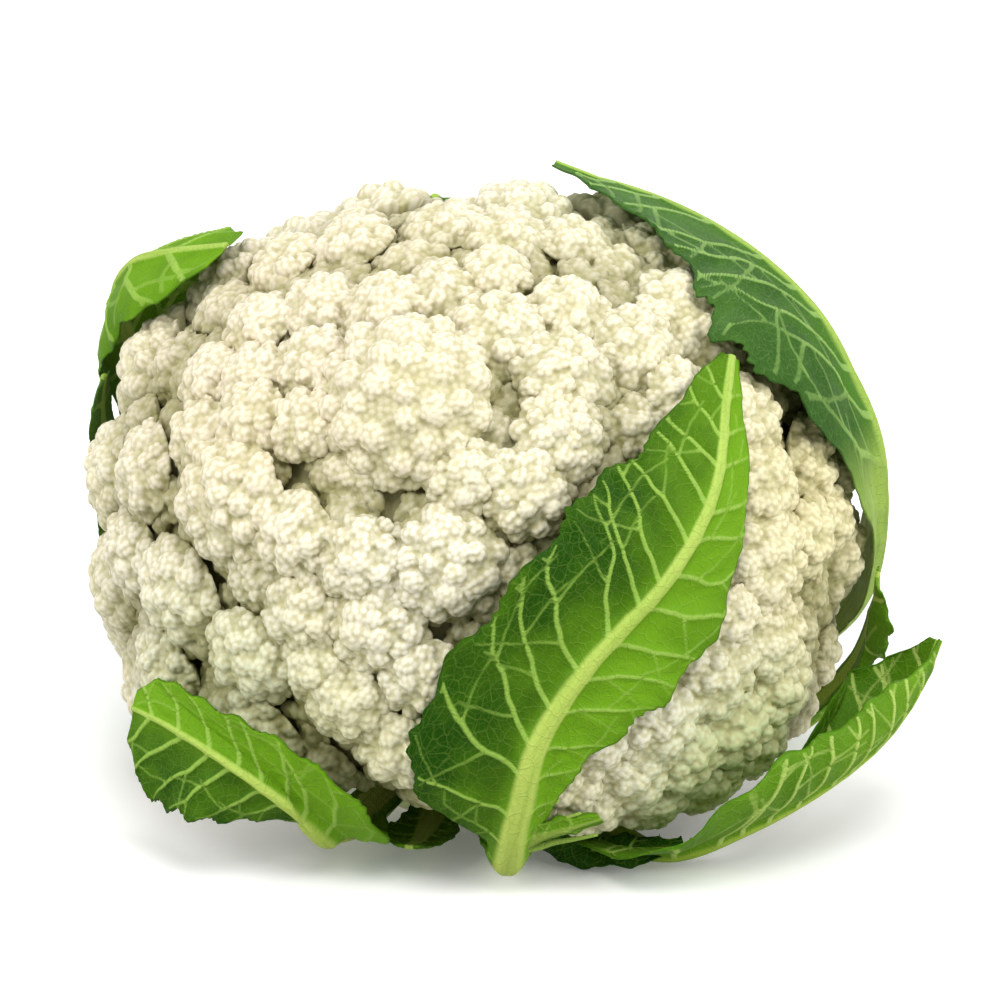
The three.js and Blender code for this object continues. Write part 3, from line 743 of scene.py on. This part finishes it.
def build_leaf(name, node, leaf, look, seed):
    """A leaf, or a bit of one: a blade with its rib and veins raised on its outer face."""
    mesh = mesh_of(leaf_grid(*leaf["grid"]), name)
    flat = points_of(mesh)
    t, s, outer = flat[:, 0], (flat[:, 1] + 1) / 2, flat[:, 2]
    stations = np.array(leaf["stations"], float)
    steps = np.linspace(0, 1, 400)
    line = station_at(stations, steps)
    lengths = np.concatenate(([0], np.cumsum(np.linalg.norm(np.diff(line[:, :3], axis=0), axis=1))))
    here = station_at(stations, s)
    half = np.where(t < 0, here[:, 3], here[:, 4])
    places = np.stack((np.interp(s, steps, lengths), t * half, np.zeros(len(s))), axis=1)
    halves = {-1: line[:, 3], 1: line[:, 4]}
    marks = leaf_veins(leaf["veins"], lengths, halves, random.Random(seed))
    away, vein_half = nearest_vein(marks, places)
    stout = smooth_ramp(vein_half, THINNEST_HALF, STOUT_HALF)
    rib_height, rib = rib_shape(leaf, s, places[:, 1])
    margin = smooth_ramp(np.abs(t) * half, half - MARGIN_WIDTH, half)
    puff = PUCKER * (1 - np.exp(-((away / PUCKER_REACH) ** 2))) * (1 - rib) * (1 - margin)
    thickness = BLADE_THICKNESS * (1 - 0.5 * margin) + rib_height * rib
    relief = VEIN_HEIGHT * np.exp(-((away / VEIN_FOOT) ** 2)) * stout * (1 - rib) - puff
    rise = np.where(outer > 0.5, thickness + relief, INNER_RELIEF * relief)
    points = blade_points(leaf, s, t) + blade_ways(leaf, s, t) * rise[:, None]
    floor = np.where(outer > 0.5, FLOOR_GAP, FLOOR_GAP + BLADE_THICKNESS)
    points[:, 2] = np.maximum(points[:, 2], floor)
    # Painted light and shade on the blade's two halves, blended near the rib
    left_light, right_light = leaf["painted_light_halves"]
    painted_light = left_light + (right_light - left_light) * smooth_ramp(t, -HALF_LIGHT_BLEND, HALF_LIGHT_BLEND)
    widened = COARSE_VEIN * max(0, lengths[-1] / leaf["grid"][0] - FINE_STEP)
    store(mesh, "vein_away", np.clip(away - vein_half - widened, -1, 4))
    store(mesh, "vein_stout", stout)
    pale_foot = leaf.get("pale_foot", 0) * (1 - smooth_ramp(s, *PALE_FOOT_ENDS))
    store(mesh, "rib", np.maximum(rib * min(1, 3 * leaf["rib"]), pale_foot))
    store(mesh, "beside_rib", np.exp(-((places[:, 1] / BESIDE_RIB) ** 2)))
    store(mesh, "margin", margin)
    store(mesh, "outer", outer)
    store(mesh, "from_base", s)
    store(mesh, "painted_light", painted_light)
    places[:, 2] = PATTERN_STEP * seed
    store_vectors(mesh, "blade_place", places * MM)
    move_points(mesh, points * MM)
    add_piece(mesh, leaf_materials[look], node)


def build_strands(material):
    """Torn strands of blade that still join the front leaf's stalk, low on its right."""
    for number, (start, bend, end) in enumerate(np.array(STRANDS, float)):
        bm = bmesh.new()
        bmesh.ops.create_cone(
            bm, cap_ends=True, segments=10, depth=1,
            radius1=STRAND_RADIUS, radius2=STRAND_END * STRAND_RADIUS,
        )
        long_edges = [edge for edge in bm.edges if abs(edge.verts[0].co.z - edge.verts[1].co.z) > 0.5]
        bmesh.ops.subdivide_edges(bm, edges=long_edges, cuts=14)
        mesh = mesh_of(bm, f"leaf_front_strand_{number + 1}")
        flat = points_of(mesh)
        share = flat[:, 2:] + 0.5
        path = (1 - share) ** 2 * start + 2 * share * (1 - share) * bend + share**2 * end
        side = unit(np.cross(end - start, VIEW))
        points = clear_of_curd(path) + side * flat[:, :1] + VIEW * flat[:, 1:2]
        store(mesh, "rib", np.full(len(flat), STRAND_RIB))
        store(mesh, "from_base", np.ones(len(flat)))
        store(mesh, "outer", np.ones(len(flat)))
        store_vectors(mesh, "blade_place", points * MM)
        move_points(mesh, points * MM)
        add_piece(mesh, material, "leaf_front")


# The stalk


def build_stalk(material):
    bm = bmesh.new()
    verts = [bm.verts.new((radius, 0, height)) for radius, height in STALK_PROFILE]
    edges = [bm.edges.new(pair) for pair in zip(verts, verts[1:])]
    bmesh.ops.subdivide_edges(bm, edges=edges, cuts=7)
    bmesh.ops.spin(
        bm, geom=bm.verts[:] + bm.edges[:], cent=(0, 0, 0), axis=(0, 0, 1),
        angle=2 * math.pi, steps=96, use_merge=True,
    )
    bmesh.ops.remove_doubles(bm, verts=bm.verts[:], dist=1e-3)
    bmesh.ops.recalc_face_normals(bm, faces=bm.faces[:])
    mesh = mesh_of(bm, "cut_stalk")
    points = points_of(mesh)
    around = np.arctan2(points[:, 1], points[:, 0])
    radius = np.hypot(points[:, 0], points[:, 1])
    side = smooth_ramp(radius, *STALK_SIDE)
    flute = sum(height * np.sin(count * around + turn) for height, count, turn in STALK_FLUTES) - FLUTE_SINK
    points[:, :2] *= (1 + side * flute / FLUTE_SCALE)[:, None]
    move_points(mesh, points * MM)
    add_piece(mesh, material, "stalk")


# Materials


def linear(red, green, blue):
    """A colour given as it looks on a screen, from 0 to 255, as the shader's own values."""
    values = [channel / 255 for channel in (red, green, blue)]
    values = [v / 12.92 if v <= 0.04045 else ((v + 0.055) / 1.055) ** 2.4 for v in values]
    return (*values, 1.0)


class Shader:
    """Adds nodes to a tree and joins them."""

    def __init__(self, tree):
        self.tree = tree

    def add(self, kind, settings=None, **sockets):
        node = self.tree.nodes.new("ShaderNode" + kind)
        for key, value in (settings or {}).items():
            setattr(node, key, value)
        for key, value in sockets.items():
            self.set(node, key.replace("_", " "), value)
        return node

    def set(self, node, socket, value):
        target = node.inputs[int(socket)] if socket.isdigit() else node.inputs[socket]
        if isinstance(value, bpy.types.NodeSocket):
            self.tree.links.new(value, target)
        else:
            target.default_value = value

    def math(self, operation, first, second, clamp=False):
        node = self.add("Math", {"operation": operation, "use_clamp": clamp})
        self.set(node, "0", first)
        self.set(node, "1", second)
        return node.outputs[0]

    def mix(self, share, first, second):
        node = self.add("Mix", {"data_type": "RGBA"})
        self.set(node, "Factor", share)
        self.set(node, "6", first)
        self.set(node, "7", second)
        return node.outputs[2]

    def ramp(self, value, low, high, to_low=0.0, to_high=1.0):
        node = self.add("MapRange", {"interpolation_type": "SMOOTHSTEP"})
        sockets = ("Value", "From Min", "From Max", "To Min", "To Max")
        for socket, given in zip(sockets, (value, low, high, to_low, to_high)):
            self.set(node, socket, given)
        return node.outputs["Result"]

    def noise(self, vector, scale, detail):
        node = self.add("TexNoise", Scale=scale, Detail=detail)
        self.set(node, "Vector", vector)
        return node.outputs["Fac"]

    def attribute(self, name, output="Fac"):
        return self.add("Attribute", {"attribute_name": name}).outputs[output]

    def place(self):
        return self.add("TexCoord").outputs["Object"]


FLOAT, VECTOR = "NodeSocketFloat", "NodeSocketVector"


def new_group(name, inputs, outputs):
    tree = bpy.data.node_groups.new(name, "ShaderNodeTree")
    for socket, kind, value in inputs:
        made = tree.interface.new_socket(name=socket, in_out="INPUT", socket_type=kind)
        if value is not None:
            made.default_value = value
    for socket in outputs:
        tree.interface.new_socket(name=socket, in_out="OUTPUT", socket_type=FLOAT)
    shader = Shader(tree)
    return shader, tree.nodes.new("NodeGroupInput").outputs, tree.nodes.new("NodeGroupOutput")


def tone_and_shade_spot_group():
    """A soft patch round a place on the head, used for tones and for painted shade."""
    shader, given, out = new_group(
        "tone_and_shade_spot",
        (("Place", VECTOR, None), ("Near", FLOAT, 0.01), ("Far", FLOAT, 0.04)),
        ("Mask",),
    )
    away = shader.add("VectorMath", {"operation": "DISTANCE"})
    shader.set(away, "0", shader.place())
    shader.set(away, "1", given["Place"])
    mask = shader.ramp(away.outputs["Value"], given["Near"], given["Far"], 1.0, 0.0)
    shader.set(out, "Mask", mask)
    return shader.tree


def mottle_group():
    """Uneven tone at two scales, about a middle of 0.5."""
    shader, given, out = new_group(
        "mottle",
        (("Vector", VECTOR, None), ("Scale", FLOAT, 60.0)),
        ("Mask", "Fine"),
    )
    broad = shader.noise(given["Vector"], given["Scale"], 3.0)
    finer = shader.noise(given["Vector"], shader.math("MULTIPLY", given["Scale"], 9.0), 2.0)
    shader.set(out, "Mask", shader.ramp(broad, 0.3, 0.7))
    shader.set(out, "Fine", finer)
    return shader.tree


def vein_net_group():
    """The fine net of veins between the large ones, on the blade's own plane."""
    shader, given, out = new_group(
        "vein_net",
        (("Vector", VECTOR, None), ("Scale", FLOAT, 300.0), ("Width", FLOAT, 0.06)),
        ("Mask",),
    )
    wander = shader.add("TexNoise", Scale=150.0, Detail=2.0)
    shader.set(wander, "Vector", given["Vector"])
    shifted = shader.add("VectorMath", {"operation": "MULTIPLY_ADD"})
    shader.set(shifted, "0", wander.outputs["Color"])
    shader.set(shifted, "1", (0.004, 0.004, 0.0))
    shader.set(shifted, "2", given["Vector"])
    cells = shader.add("TexVoronoi", {"feature": "DISTANCE_TO_EDGE", "voronoi_dimensions": "2D"})
    shader.set(cells, "Vector", shifted.outputs["Vector"])
    shader.set(cells, "Scale", given["Scale"])
    mask = shader.ramp(cells.outputs["Distance"], 0.0, given["Width"], 1.0, 0.0)
    shader.set(out, "Mask", mask)
    return shader.tree


GROUPS = {"tone_and_shade_spot": tone_and_shade_spot_group(), "mottle": mottle_group(), "vein_net": vein_net_group()}


def new_material(name):
    material = bpy.data.materials.new(name)
    material.use_nodes = True
    shader = Shader(material.node_tree)
    return material, shader, material.node_tree.nodes["Principled BSDF"]


def use_group(shader, name, **sockets):
    return shader.add("Group", {"node_tree": GROUPS[name]}, **sockets).outputs


def bump(shader, height, strength, distance):
    node = shader.add("Bump", Strength=strength, Distance=distance, Height=height)
    return node.outputs["Normal"]


# Soft patches of colour on the curd, the upper three tones, the low green ones painted shade and the last a
# painted shadow: place, near and far reach, colour and share
CURD_TONES_AND_SHADE = (
    ((-0.045, -0.03, 0.115), 0.02, 0.075, linear(229, 212, 188), 0.45),
    ((0.082, -0.02, 0.08), 0.015, 0.075, linear(231, 220, 170), 0.7),
    ((0.02, -0.03, 0.13), 0.01, 0.06, linear(229, 221, 196), 0.35),
    # Painted shade low on the curd, greened as by light bounced from the leaves
    ((-0.055, -0.065, 0.035), 0.012, 0.045, linear(188, 199, 146), 0.5),
    ((0.06, -0.06, 0.02), 0.008, 0.042, linear(156, 179, 95), 0.7),
    ((-0.01, -0.075, 0.02), 0.008, 0.05, linear(199, 201, 143), 0.4),
    # Painted shadow of the right leaf, where its tip hangs over the curd
    ((0.05, 0.02, 0.125), 0.01, 0.05, linear(179, 192, 119), 0.45),
)


# Painted shade in the creases of the curd, tinted yellow-green: how far in they are, between which values the
# shade sets in, its share and colour
CURD_CREASE_SHADE = (
    ("grain_edge", 0.35, 0.95, 0.6, linear(186, 178, 130)),
    ("bud_depth", 0.35, 1.0, 0.42, linear(158, 154, 92)),
    ("hollow", 0.2, 0.85, 0.75, linear(122, 119, 55)),
)
CURD_CREAM = (linear(229, 224, 208), linear(226, 219, 194))


def curd_material():
    material, shader, surface = new_material("curd_cream")
    place = shader.place()
    tone = use_group(shader, "mottle", Vector=place, Scale=38.0)
    cream = shader.mix(tone["Mask"], *CURD_CREAM)
    for spot, near, far, colour, share in CURD_TONES_AND_SHADE:
        mask = use_group(shader, "tone_and_shade_spot", Place=spot, Near=near, Far=far)["Mask"]
        cream = shader.mix(shader.math("MULTIPLY", mask, share), cream, colour)
    # Painted shade in the creases, darkest deep in the hollows between florets
    for name, low, high, share, colour in CURD_CREASE_SHADE:
        mask = shader.ramp(shader.attribute(name), low, high)
        cream = shader.mix(shader.math("MULTIPLY", mask, share), cream, colour)
    shader.set(surface, "Base Color", cream)
    shader.set(surface, "Roughness", shader.ramp(tone["Fine"], 0.3, 0.7, 0.5, 0.68))
    fine = shader.noise(place, 2200.0, 2.0)
    shader.set(surface, "Normal", bump(shader, fine, 0.35, 0.0003))
    shader.set(surface, "Subsurface Weight", 0.12)
    shader.set(surface, "Subsurface Radius", (1.0, 0.9, 0.6))
    shader.set(surface, "Subsurface Scale", 0.0005)
    shader.set(surface, "Specular IOR Level", 0.35)
    return material


# Each leaf finish: dark and light blade, between which painted light and shade blend, vein, rib at the base
# and at the tip, inner face
LEAF_TONES = {
    "leaf_green": (
        linear(28, 68, 0), linear(103, 151, 20), linear(145, 180, 77),
        linear(184, 199, 96), linear(162, 190, 88), linear(85, 134, 13),
    ),
    "leaf_blue_green": (
        linear(32, 68, 20), linear(74, 118, 40), linear(138, 173, 92),
        linear(158, 184, 88), linear(153, 184, 81), linear(96, 138, 57),
    ),
    "leaf_pale": (
        linear(42, 88, 2), linear(100, 146, 24), linear(175, 199, 103),
        linear(153, 180, 50), linear(169, 195, 85), linear(77, 127, 7),
    ),
}


def leaf_material(name):
    dark, light, vein_tone, rib_base, rib_tip, inner_tone = LEAF_TONES[name]
    material, shader, surface = new_material(name)
    blade = shader.attribute("blade_place", "Vector")
    tone = use_group(shader, "mottle", Vector=blade, Scale=70.0)
    net = use_group(shader, "vein_net", Vector=blade, Scale=420.0, Width=0.09)["Mask"]
    fine_net = use_group(shader, "vein_net", Vector=blade, Scale=820.0, Width=0.12)["Mask"]
    rib = shader.attribute("rib")
    margin = shader.attribute("margin")
    outer = shader.attribute("outer")
    from_base = shader.attribute("from_base")
    # The blade's painted light and shade, with mottle and a lighter band by the rib
    patch = shader.math("ADD", shader.attribute("painted_light"), shader.math("MULTIPLY", tone["Mask"], 0.36))
    patch = shader.math("ADD", patch, shader.math("MULTIPLY", shader.attribute("beside_rib"), 0.3))
    patch = shader.math("SUBTRACT", patch, 0.24, clamp=True)
    green = shader.mix(patch, dark, light)
    green = shader.mix(shader.ramp(outer, 0.3, 0.7, 0.5, 0.0), green, inner_tone)
    green = shader.mix(shader.math("MULTIPLY", fine_net, 0.08), green, vein_tone)
    green = shader.mix(shader.math("MULTIPLY", net, 0.12), green, vein_tone)
    vein_share = shader.ramp(shader.attribute("vein_stout"), 0.0, 1.0, 0.4, 0.9)
    vein_line = shader.ramp(shader.attribute("vein_away"), -0.12, 0.3, 1.0, 0.0)
    green = shader.mix(shader.math("MULTIPLY", vein_line, vein_share), green, vein_tone)
    rib_tone = shader.mix(from_base, rib_base, rib_tip)
    streak = shader.add("VectorMath", {"operation": "MULTIPLY"})
    shader.set(streak, "0", blade)
    shader.set(streak, "1", (0.06, 1.0, 1.0))
    streaks = shader.noise(streak.outputs["Vector"], 900.0, 3.0)
    rib_tone = shader.mix(shader.ramp(streaks, 0.4, 0.75, 0.0, 0.3), rib_tone, light)
    green = shader.mix(shader.ramp(rib, 0.35, 0.8), green, rib_tone)
    # Painted shade along the margin, darker towards the edge
    green = shader.mix(shader.math("MULTIPLY", shader.ramp(margin, 0.4, 1.0), 0.45), green, dark)
    shader.set(surface, "Base Color", green)
    shader.set(surface, "Roughness", shader.ramp(tone["Fine"], 0.3, 0.7, 0.4, 0.56))
    height = shader.math("ADD", shader.math("MULTIPLY", net, 0.6), shader.math("MULTIPLY", fine_net, 0.3))
    height = shader.math("ADD", height, shader.math("MULTIPLY", tone["Fine"], 0.8))
    shader.set(surface, "Normal", bump(shader, height, 0.5, 0.0004))
    shader.set(surface, "Specular IOR Level", 0.08)
    return material


def stalk_material():
    material, shader, surface = new_material("stalk_green")
    place = shader.place()
    tone = use_group(shader, "mottle", Vector=place, Scale=80.0)
    green = shader.mix(tone["Mask"], linear(196, 212, 140), linear(222, 228, 180))
    parts = shader.add("SeparateXYZ", Vector=place)
    cut = shader.ramp(parts.outputs["Z"], 0.0002, 0.0012, 1.0, 0.0)
    wave = {"wave_type": "RINGS", "rings_direction": "Z"}
    rings = shader.add("TexWave", wave, Vector=place, Scale=60.0, Distortion=4.0)
    face = shader.mix(rings.outputs["Fac"], linear(214, 206, 160), linear(238, 232, 204))
    green = shader.mix(cut, green, face)
    shader.set(surface, "Base Color", green)
    shader.set(surface, "Roughness", shader.ramp(tone["Fine"], 0.3, 0.7, 0.45, 0.65))
    shader.set(surface, "Normal", bump(shader, tone["Fine"], 0.4, 0.0005))
    return material


# Stage, lights and camera

FLOOR_HALF = 6.0  # metres
FLOOR_BOUNCE, FLOOR_SEEN = (0.45, 0.46, 0.42, 1.0), (0.96, 0.96, 0.96, 1.0)  # for light, for the camera
FLOOR_GLOW = 0.1


def build_floor():
    bm = bmesh.new()
    bmesh.ops.create_grid(bm, x_segments=4, y_segments=4, size=FLOOR_HALF)
    floor = add_object("floor", mesh_of(bm, "floor"))
    material, shader, surface = new_material("pale_floor")
    seen = shader.add("LightPath").outputs["Is Camera Ray"]
    shader.set(surface, "Base Color", shader.mix(seen, FLOOR_BOUNCE, FLOOR_SEEN))
    shader.set(surface, "Emission Color", (1.0, 1.0, 1.0, 1.0))
    shader.set(surface, "Emission Strength", FLOOR_GLOW)
    shader.set(surface, "Roughness", 0.8)
    shader.set(surface, "Specular IOR Level", 0.1)
    floor.data.materials.append(material)


# Lamps, in metres: name, place, the height of what they point at, width, power and colour
WHITE, WARM_WHITE = (1.0, 1.0, 1.0), (1.0, 1.0, 0.99)
LAMPS = (
    ("key", (0.1, -1.1, 1.7), 0.07, 0.9, 15.0, WARM_WHITE),
    ("left", (-1.55, -0.8, 0.95), 0.06, 1.5, 24.0, WHITE),
    ("right", (1.55, -0.8, 0.95), 0.06, 1.5, 27.0, WHITE),
    ("above", (-0.2, -0.15, 1.9), 0.07, 1.2, 9.0, WHITE),
    ("behind", (0.3, 1.6, 1.2), 0.07, 1.2, 11.0, WHITE),
)
AMBIENT, SEEN_BACKDROP = 0.36, 1.0  # the white surroundings, as a light and as they are seen


def build_lights():
    world = bpy.data.worlds.new("studio")
    world.use_nodes = True
    backdrop = world.node_tree.nodes["Background"]
    backdrop.inputs["Color"].default_value = (1.0, 1.0, 1.0, 1.0)
    shader = Shader(world.node_tree)
    seen = shader.add("LightPath").outputs["Is Camera Ray"]
    shader.set(backdrop, "Strength", shader.ramp(seen, 0.0, 1.0, AMBIENT, SEEN_BACKDROP))
    bpy.context.scene.world = world
    for name, place, target, width, power, colour in LAMPS:
        data = bpy.data.lights.new(name, "AREA")
        data.shape = "DISK"
        data.size = width
        data.energy = power
        data.color = colour
        lamp = add_object(name, data)
        lamp.location = place
        lamp.rotation_mode = "QUATERNION"
        lamp.rotation_quaternion = (Vector((0, 0, target)) - Vector(place)).to_track_quat("-Z", "Y")


def build_camera():
    data = bpy.data.cameras.new("camera")
    data.sensor_width = SENSOR
    data.lens = SENSOR * CAMERA_DISTANCE / CAMERA_FIELD
    data.clip_start, data.clip_end = 0.05, 40.0
    camera = add_object("camera", data)
    camera.location = Vector((np.array(CAMERA_TARGET) - VIEW * CAMERA_DISTANCE) * MM)
    camera.rotation_mode = "QUATERNION"
    camera.rotation_quaternion = Vector(VIEW).to_track_quat("-Z", "Y")
    bpy.context.scene.camera = camera


bpy.context.scene.view_settings.view_transform = "Standard"
build_camera()
build_lights()
build_floor()
build_curd(curd_material())
build_stalk(stalk_material())
leaf_materials = {name: leaf_material(name) for name in LEAF_TONES}
for number, (leaf_name, leaf_values) in enumerate(LEAVES.items()):
    build_leaf(leaf_name + "_blade", leaf_name, leaf_values, leaf_values["look"], number + 1)
for number, (scrap_name, scrap) in enumerate(SCRAPS.items()):
    build_leaf(scrap_name, "leaf_front", scrap, "leaf_green", number + SCRAP_SEED)
build_strands(leaf_materials["leaf_green"])
